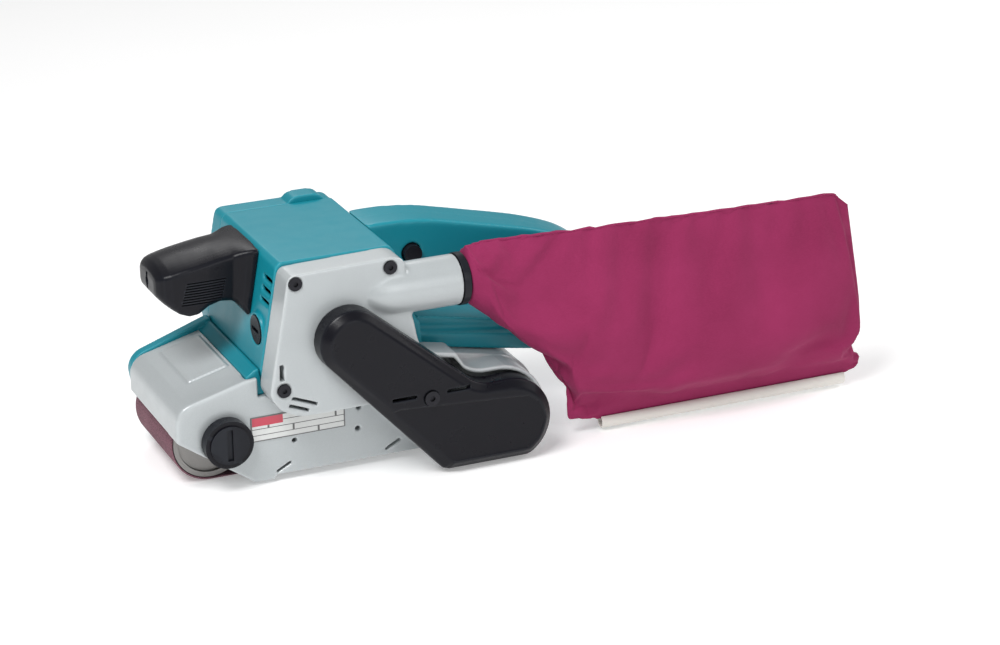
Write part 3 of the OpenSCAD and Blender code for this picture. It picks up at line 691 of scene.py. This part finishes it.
# %% Fan cover
nozzle_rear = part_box("fan_cover")[1].x / MM
nozzle_y, nozzle_z, nozzle_radius = -70.0, 122.5, 16.5
print("nozzle ends at", round(nozzle_rear), "mm")


def nozzle_root(points):
    """Where the nozzle meets the face and the rear edge of the cover."""
    from_axis = np.hypot(points[:, 1] - nozzle_y, points[:, 2] - nozzle_z)
    near = 1 - fade(np.abs(from_axis - nozzle_radius), 2, 6)
    return near * (1 - fade(points[:, 0], 34, 42)) * fade(points[:, 0], -12, -2)


fan_body = cast(copy_of("fan_cover"), 0.7, 8, nozzle_root, 50)
fan_face, slot_depth = -81.0, 14.0
# middle X and Z, length, width and tilt of each air slot
air_slots = [
    (-56.4, 82.5, 11.0, 2.4, 94.0),
    (-42.0, 61.0, 18.0, 2.0, -22.0),
    (-46.0, 57.0, 14.0, 2.0, -22.0),
]
slot_cuts = []
for x, z, length, width, tilt in air_slots:
    along_x, along_z = math.cos(math.radians(tilt)), math.sin(math.radians(tilt))
    corners = [
        (
            x + a * length / 2 * along_x - b * width / 2 * along_z,
            z + a * length / 2 * along_z + b * width / 2 * along_x,
        )
        for a, b in ((-1, -1), (1, -1), (1, 1), (-1, 1))
    ]
    slot_cuts.append(prism(corners, fan_face - 1, fan_face + slot_depth))
stands_for(carve(fan_body, *slot_cuts), "fan_cover")

# %% [markdown]
# ## Drive cover
# The black cover over the belt drive is pulled from a two-part mould, so its sides lean a little
# and its rim is a broad chamfer that catches the light. It is lofted: the same outline is drawn
# again and again, each time a bit further out and a bit smaller, and neighbours are joined. The
# hollow inside is the same loft, a wall's thickness smaller, and is cut out of the first. A low
# step crosses the face's lower half, with two slots and a sunk screw above it.

# %% Drive cover outline
cover_low, cover_high = (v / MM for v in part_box("drive_cover"))
motor_x, motor_z = -13.0, 100.0
roller_x = 92.4


def drive_outline(inset):
    """Motor end, straight top edge, the dip and the hump over the rear pulley, set in by inset."""
    return (
        arc(motor_x, motor_z, 22 - inset, 218, 51, 28)
        + arc(82 - inset * 0.4, 82 + inset * 0.2, 25 + inset, 231, 268, 12)
        + arc(roller_x + 0.6, 28, 29.5 - inset, 92, -58, 32)
        + [(106 - inset, 1.8 + inset), (50 + inset * 0.4, 1.8 + inset)]
        + [(45.5 + inset * 1.2, 3.2 + inset)]
    )


# %% Drive cover
face_y = cover_low.y


def cover_loft(name, steps):
    """The outline, drawn at every Y and inset of the steps and joined."""
    return loft(name, [[(x, y, z) for x, z in drive_outline(inset)] for y, inset in steps])


rim = [(cover_high.y, 0.0), (face_y + 5.5, 0.3), (face_y + 4.6, 0.6), (face_y + 0.5, 5.2), (face_y, 6.4)]
cover = cover_loft("drive_cover_shell", rim)
inner_rim = [(cover_high.y + 1, 2.6), (face_y + 6.5, 2.8), (face_y + 2.6, 7.4)]
hollow = cover_loft("cover_hollow", inner_rim)
hollow_points = [v.co / MM for v in hollow.data.vertices]
hollow_faces = [tuple(p.vertices) for p in hollow.data.polygons]
bpy.data.objects.remove(hollow)

# %% Drive cover cuts
screw_x, screw_z, head_radius, screw_radius = 37.4, 55.5, 5.2, 2.4
step_depth, slot_half_width, slot_cut_depth = 0.9, 1.1, 4.0
step_down = [(10.0, 50.2), (16.0, 51.4), (105.0, 45.6), (112.0, 40.5), (117.5, 28.0), (112.0, 14.0),
             (104.0, 8.6), (52.0, 8.6), (47.0, 11.5), (14.0, 45.5)]
# middle X and Z and length of each slot
cover_slots = [(19.0, 58.0, 17.0), (56.5, 58.3, 17.0)]
cover_cuts = [
    (hollow_points, hollow_faces),
    rod((screw_x, face_y - 1, screw_z), (screw_x, face_y + 1.0, screw_z), head_radius),
    rod((screw_x, face_y - 1, screw_z), (screw_x, face_y + 8, screw_z), screw_radius),
]
for x, z, length in cover_slots:
    low = (x - length / 2, face_y - 1, z - slot_half_width)
    high = (x + length / 2, face_y + slot_cut_depth, z + slot_half_width)
    cover_cuts.append(box_mm(low, high))
cover_cuts.append(prism(step_down, face_y - 1, face_y + step_depth))
carve(cover, *cover_cuts)
stands_for(cast(cover, 0.6, 3), "drive_cover")

# %% [markdown]
# ## Front grip
# The grip is a hard rubber moulding that the left hand wraps. It is lofted from the housing to its
# nose: every section is a rounded rectangle with a crowned top, and near the housing the sections
# lean back with the housing's wall. The sides draw in at a waist and flare out again, so the palm
# finds its place. Fine ribs on both sides and the screw's slot in the nose are cut last.

# %% Grip sections
grip_low, grip_high = (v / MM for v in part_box("front_grip"))
grip_middle = (grip_low.y + grip_high.y) / 2
grip_half = (grip_high.y - grip_low.y) / 2
# top X, lean of the section, bottom Z, top Z, how far the side is drawn in, corner radius, crown
grip_stations = [
    (-50.8, 0.186, 103.0, 148.0, 0.2, 3.5, 0.8),
    (-54.0, 0.165, 106.0, 148.3, 0.4, 3.5, 1.0),
    (-58.0, 0.135, 109.4, 148.4, 1.4, 4.0, 1.6),
    (-62.0, 0.095, 111.6, 148.4, 3.2, 4.5, 2.8),
    (-66.5, 0.055, 113.2, 148.0, 4.2, 5.0, 3.8),
    (-76.0, 0.0, 114.3, 147.2, 3.7, 5.0, 4.2),
    (-84.0, 0.0, 112.4, 145.8, 3.2, 5.0, 4.2),
    (-91.0, 0.0, 107.8, 144.6, 3.2, 5.0, 4.2),
    (-97.0, 0.0, 107.1, 143.6, 3.4, 5.0, 4.2),
    (-103.0, 0.0, 109.4, 142.4, 3.8, 5.0, 4.2),
    (-108.5, 0.0, 113.6, 141.2, 4.4, 5.0, 4.2),
    (-112.6, 0.0, 117.2, 139.8, 6.0, 5.0, 3.8),
    (-115.2, 0.0, 120.0, 138.0, 8.4, 4.6, 3.2),
    (-116.8, 0.0, 121.8, 136.0, 11.0, 4.0, 2.4),
    (-117.4, 0.0, 124.0, 133.0, 14.0, 2.6, 1.2),
]
top_radius, corner_steps, crown_steps = 2.2, 6, 14


def grip_section(station):
    """A rounded rectangle, run round from the lower left, whose upper edge rises in the middle."""
    top_x, lean, low, high, inset, radius, crown = station
    half, shoulder, upper = grip_half - inset, high - crown, min(radius, top_radius)
    corners = [
        (-half + radius, low + radius, radius, 180),
        (half - radius, low + radius, radius, 270),
        (half - upper, shoulder - upper, upper, 0),
        (-half + upper, shoulder - upper, upper, 90),
    ]
    flat = []
    for number, (y, z, turn_radius, start) in enumerate(corners):
        flat += arc(y, z, turn_radius, start, start + 90, corner_steps)
        if number == 2:
            reach = half - upper
            flat += [(reach * (1 - 2 * i / crown_steps), shoulder) for i in range(1, crown_steps)]
    section = []
    for y, z in flat:
        rise = fade(np.array(z), low + radius, shoulder) * crown * (1 - (y / half) ** 2)
        section.append((top_x - lean * (high - z), grip_middle + y, z + float(rise)))
    return section


# %% Front grip
rib_rows, rib_pitch, rib_groove, rib_depth, rib_start = 9, 1.75, 0.9, 1.4, 116.0
rib_front, rib_rear, waist = -102.5, -76, 3.6
screw_z_low, screw_z_high, screw_half_width = 122.0, 134.0, 1.8
bore_z, bore_end, bore_radius = 128, -66, 3.0
grip = cast(loft("front_grip_body", [grip_section(s) for s in grip_stations]), 0.7, 3)
grip_cuts = []
for row in range(rib_rows):
    z = rib_start + row * rib_pitch
    for side in (-1, 1):
        wall = grip_middle + side * (grip_half - waist)
        near, far = sorted((wall - side * rib_depth, wall + side * 6))
        # each rib starts and ends a little further back than the one below it
        low, high = (rib_front + row * 0.5, near, z), (rib_rear + row * 0.4, far, z + rib_groove)
        grip_cuts.append(box_mm(low, high))
screw_slot = box_mm(
    (grip_low.x - 2, grip_middle - screw_half_width, screw_z_low),
    (grip_low.x + 6, grip_middle + screw_half_width, screw_z_high),
)
screw_bore = rod((grip_low.x - 2, grip_middle, bore_z), (bore_end, grip_middle, bore_z), bore_radius)
grip_cuts += [screw_slot, screw_bore]
carve(grip, *grip_cuts)
smooth_shading(grip).data.set_sharp_from_angle(angle=math.radians(38))
stands_for(grip, "front_grip")

# %% [markdown]
# ## Rear handle
# The closed handle is two half shells that meet in the middle. They are made as one body, so that
# the round edges run evenly, and are then cut apart in the middle plane, where the real ones have
# their parting line.

# %% Rear handle outline
handle_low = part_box("handle_left")[0] / MM
handle_width = -2 * handle_low.y
top_edge = [(8, 147.6), (60, 148.4), (104, 138), (154, 126), (186, 112), (205, 86), (206, 62)]
bottom_edge = [(192, 50), (150, 52), (142, 62), (120, 74), (60, 86), (20, 92)]
handle_outside = soften(top_edge + bottom_edge, 3)
gap_below = [(58, 90), (104, 82), (150, 72), (172, 74), (173, 88)]
gap_above = [(158, 102), (124, 108), (84, 115), (57, 117), (52, 104)]
finger_gap = soften(gap_below + gap_above, 3)
housing_wall = [(26.3, 170), (26.3, 148), (30.3, 143), (34.3, 112), (46.3, 92), (48.3, 60)]
housing_rear = [(-20, 170), *housing_wall, (-20, 60)]
print("handle is", round(handle_width, 1), "mm wide")

# %% Rear handle
half_width = handle_width / 2
handle = from_faces("handle_body", *prism(handle_outside, -half_width, half_width))
carve(handle, prism(finger_gap, -half_width - 1, half_width + 1))
cast(handle, 1.2, 26)
# the root is cut to the housing's leaning rear wall after the rounding, so it meets it cleanly
carve(handle, prism(housing_rear, -half_width - 1, half_width + 1))
lock_x, lock_z, lock_radius = 57.6, 124.5, 6.9
gland_z, gland_radius = 78, 8.1
trigger_well = box_mm((61, -9.4, 100), (102, 9.4, 125))
lock_well = rod((lock_x, -half_width - 1, lock_z), (lock_x, 0, lock_z), lock_radius)
gland_hole = rod((192, 0, gland_z), (212, 0, gland_z), gland_radius)
carve(handle, trigger_well, lock_well, gland_hole)
cast(handle, 0.8, 2)
far, parting_gap = 200.0, 0.02
for name, keep_sign in (("handle_left", -1), ("handle_right", 1)):
    half = new_object(name + "_shell", handle.data.copy())
    low, high = (0.0, far) if keep_sign < 0 else (-far, parting_gap)
    carve(half, box_mm((0, low, 0), (300, high, 300)))
    smooth_shading(half)
    stands_for(half, name)
bpy.data.objects.remove(handle)

# %% [markdown]
# ## The dust bag
# The bag is two sheets sewn round their edge and slipped over the cuff. It is lofted from the
# round neck to the flat rear seam, as closed sections that run from the lower edge to the upper
# one, and then cloth simulation with a little air pressure settles it. The cloth is cut a few per
# cent too large, which is what makes the folds round the neck.

# %% Bag outline
cuff_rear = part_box("bag_cuff")[1].x / MM
bag_low, bag_high = (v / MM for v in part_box("dust_bag"))
bag_y = (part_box("closing_rod")[0].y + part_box("closing_rod")[1].y) / 2 / MM
rod_low, rod_high = (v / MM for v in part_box("closing_rod"))
neck_x, neck_radius = bag_low.x + 0.6, 15.6
lower_edge = [
    (neck_x, nozzle_z - neck_radius), (100, 84), (124, 64), (138, 46), (143.5, 34), (144.5, 12.5),
    (158, 9.5), (rod_low.x + 4, 7.0), (250, 7.0), (rod_high.x - 4, 7.0), (362, 11), (366, 18),
]
upper_edge = [
    (neck_x, nozzle_z + neck_radius), (73.5, 144.4), (84, 146), (108, 145.6), (135, 144.8),
    (165, 144), (200, 143.2), (235, 142.6), (270, 142), (308, 141.4), (341, 140.6), (352, 132),
]
bag_columns, bag_points = 76, 72
print("bag from", round(neck_x), "to", round(bag_high.x), "mm, on a cuff up to", round(cuff_rear))


def along(points, share):
    """The point at a share of the way along a list, counted by index."""
    place = share * (len(points) - 1)
    i = min(int(place), len(points) - 2)
    a, b = Vector(points[i]), Vector(points[i + 1])
    return a.lerp(b, place - i)


# %% Bag sections
# shares of the bag's length: where the neck has opened, and where the bag starts to thin
opened_at, thins_from = 0.22, 0.45
half_thickness, seam_half_thickness = 19.0, 0.8
# the hem hangs as a thin flap: its part of the height, and how much thinner it is
flap_height, flap_thinner = 0.40, 0.90


def bag_section(share):
    """One closed section: a circle at the neck that turns into a lens, flat at the rear seam."""
    low, high = along(lower_edge, share), along(upper_edge, share)
    open_part = min(1.0, share / opened_at)
    pillow = math.sqrt(max(0.0, 1 - max(0.0, (share - thins_from) / (1 - thins_from)) ** 2.6))
    thickness = neck_radius + (half_thickness - neck_radius) * min(1.0, 2.5 * open_part)
    thickness = max(seam_half_thickness, thickness * pillow)
    centre_y = nozzle_y + (bag_y - nozzle_y) * open_part
    ring = []
    for i in range(bag_points):
        turn = 2 * math.pi * i / bag_points
        height, side = -math.cos(turn), math.sin(turn)
        bulge = math.copysign(abs(side) ** (1 + open_part * 0.25), side)
        point = low.lerp(high, (height + 1) / 2)
        flap = 1 - open_part * (1 - min(1.0, (height + 1) / flap_height)) * flap_thinner
        ring.append((point.x, centre_y + thickness * bulge * flap, point.y))
    return ring


# %% Bag loft
# the neck stays open and the rear is closed by a strip of four-sided faces, which drape well
rings = [bag_section(c / bag_columns) for c in range(bag_columns + 1)]
rear_ring = bag_columns * bag_points
bag_faces = []
for base in range(0, rear_ring, bag_points):
    for i in range(bag_points):
        after = (i + 1) % bag_points
        bag_faces.append((base + i, base + after, base + bag_points + after, base + bag_points + i))
for i in range(1, bag_points // 2 - 1):
    lower, upper = rear_ring + i, rear_ring + bag_points - i
    bag_faces.append((lower, lower + 1, upper - 1, upper))
bag = from_faces("dust_bag_cloth", [p for ring in rings for p in ring], bag_faces)
smooth_shading(bag)
print("bag loft", len(bag.data.polygons), "faces")

# %% Bag cloth simulation
cloth_frames, cloth_extra, bag_pressure, move_cap = 24, -0.035, 3.2, 9.0
neck_rings, hem_top, edge_hold = 5, 20, 0.6


def settle_cloth(obj, held):
    """Runs the cloth with the held points pinned, and caps how far any point may move."""
    before = np.array([v.co for v in obj.data.vertices])
    group = obj.vertex_groups.new(name="held")
    for index, weight in held.items():
        group.add([index], weight, "REPLACE")
    cloth = obj.modifiers.new("cloth", "CLOTH")
    settings = cloth.settings
    settings.quality = 6
    settings.mass = 0.25
    settings.tension_stiffness = 22
    settings.compression_stiffness = 22
    settings.shear_stiffness = 8
    settings.bending_stiffness = 0.6
    settings.shrink_min = cloth_extra
    settings.use_pressure = True
    settings.uniform_pressure_force = bag_pressure
    settings.vertex_group_mass = "held"
    settings.effector_weights.gravity = 0.15
    cloth.collision_settings.use_collision = False
    cloth.point_cache.frame_start = 1
    cloth.point_cache.frame_end = cloth_frames
    for step in range(1, cloth_frames + 1):
        bpy.context.scene.frame_set(step)
    settle(obj)
    bpy.context.scene.frame_set(1)
    after = np.array([v.co for v in obj.data.vertices])
    move = after - before
    length = np.linalg.norm(move, axis=1, keepdims=True)
    move *= np.minimum(1.0, move_cap * MM / np.maximum(length, 1e-9))
    obj.data.vertices.foreach_set("co", (before + move).astype(np.float32).ravel())
    obj.data.update()
    obj.vertex_groups.clear()
    print(obj.name, "moved up to", round(float(length.max()) / MM, 1), "mm")


held_points = {}
for c, ring in enumerate(rings):
    for i, (x, y, z) in enumerate(ring):
        on_rod = z < hem_top and rod_low.x - 2 < x < rod_high.x + 2
        if c < neck_rings or on_rod:
            held_points[c * bag_points + i] = 1.0
        elif i in (0, bag_points // 2):
            held_points[c * bag_points + i] = edge_hold
settle_cloth(bag, held_points)

# %% Bag finish
lift = bag.modifiers.new("finer", "SUBSURF")
lift.levels = lift.render_levels = 1
settle(bag)
shell = bag.modifiers.new("thickness", "SOLIDIFY")
shell.thickness = 0.5 * MM
shell.offset = -1
settle(bag)
stands_for(smooth_shading(bag), "dust_bag")

# %% [markdown]
# ## Seams and the spring
# Two details are swept along curves. The welt is the doubled seam that runs along the top of the
# bag. The tension spring is a helix, which is nothing but a circle that moves forward as it turns.

# %% Sweeping along a path


def sweep(name, path, radius, sides=8):
    """A round bar along a list of points in millimetres."""
    path = [Vector(p) for p in path]
    rings, side = [], None
    for i, p in enumerate(path):
        ahead = (path[min(i + 1, len(path) - 1)] - path[max(i - 1, 0)]).normalized()
        side = (ahead.orthogonal() if side is None else side - ahead * side.dot(ahead)).normalized()
        other = ahead.cross(side)
        turns = [2 * math.pi * k / sides for k in range(sides)]
        rings.append([p + radius * (math.cos(t) * side + math.sin(t) * other) for t in turns])
    return smooth_shading(loft(name, rings))


# %% Tension spring
spring_low, spring_high = (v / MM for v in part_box("tension_spring"))
wire, coils, end_turns, steps_per_coil = 0.9, 5.5, 0.6, 20
spring_radius = (spring_high.z - spring_low.z) / 2 - wire
spring_middle = (spring_low + spring_high) / 2
reach = spring_high.x - spring_low.x - 2 * wire
spring_path = []
for step in range(int(coils * steps_per_coil) + 1):
    turn = step / steps_per_coil
    flat_ends = min(max((turn - end_turns) / (coils - 2 * end_turns), 0.0), 1.0)
    x = spring_low.x + wire + reach * (0.9 * flat_ends + 0.1 * turn / coils)
    angle = 2 * math.pi * turn
    y = spring_middle.y + spring_radius * math.cos(angle)
    z = spring_middle.z + spring_radius * math.sin(angle)
    spring_path.append((x, y, z))
stands_for(sweep("tension_coil", spring_path, wire), "tension_spring")

# %% Bag seam
seam_columns = range(8, bag_columns - 3)
welt_radius, welt_sunk, seam_reach = 0.9, 0.4, 3.0
skin = [v.co / MM for v in bag.data.vertices]
top_line = []
for c in seam_columns:
    x = rings[c][bag_points // 2][0]
    near = [p for p in skin if abs(p.x - x) < seam_reach]
    top_line.append(max(near, key=lambda p: p.z))
print("seam over", len(top_line), "points, up to", round(top_line[-1].x), "mm")
welt = sweep("bag_welt", [p - Vector((0, 0, welt_sunk)) for p in top_line], welt_radius)
welt.data.materials.append(finishes["bag_fabric"])
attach(welt, body_of["dust_bag"])

# %% [markdown]
# ## Everything else
# The remaining solids are right as they are. Each one gets its finish, and a small bevel that
# only touches sharp edges, because a machined edge is always broken a little and a line of light
# along it is what tells the eye that the part is solid.

# %% Finishes and small bevels
broken_edge = 0.00025
for name, obj in nodes.items():
    obj.data.materials.clear()
    obj.data.materials.append(finishes[slot_of[name]])
    if obj.hide_render:
        continue
    weld = obj.modifiers.new("weld", "WELD")
    weld.merge_threshold = same_point
    bevel = obj.modifiers.new("broken_edge", "BEVEL")
    bevel.width = broken_edge
    bevel.segments = 2
    bevel.limit_method = "ANGLE"
    bevel.angle_limit = math.radians(40)
    smooth_shading(obj)
    weighted = obj.modifiers.new("flat_faces_stay_flat", "WEIGHTED_NORMAL")
    weighted.keep_sharp = True
print("bevelled", sum(not o.hide_render for o in nodes.values()), "solids")

# %% Final update
bpy.context.view_layer.update()
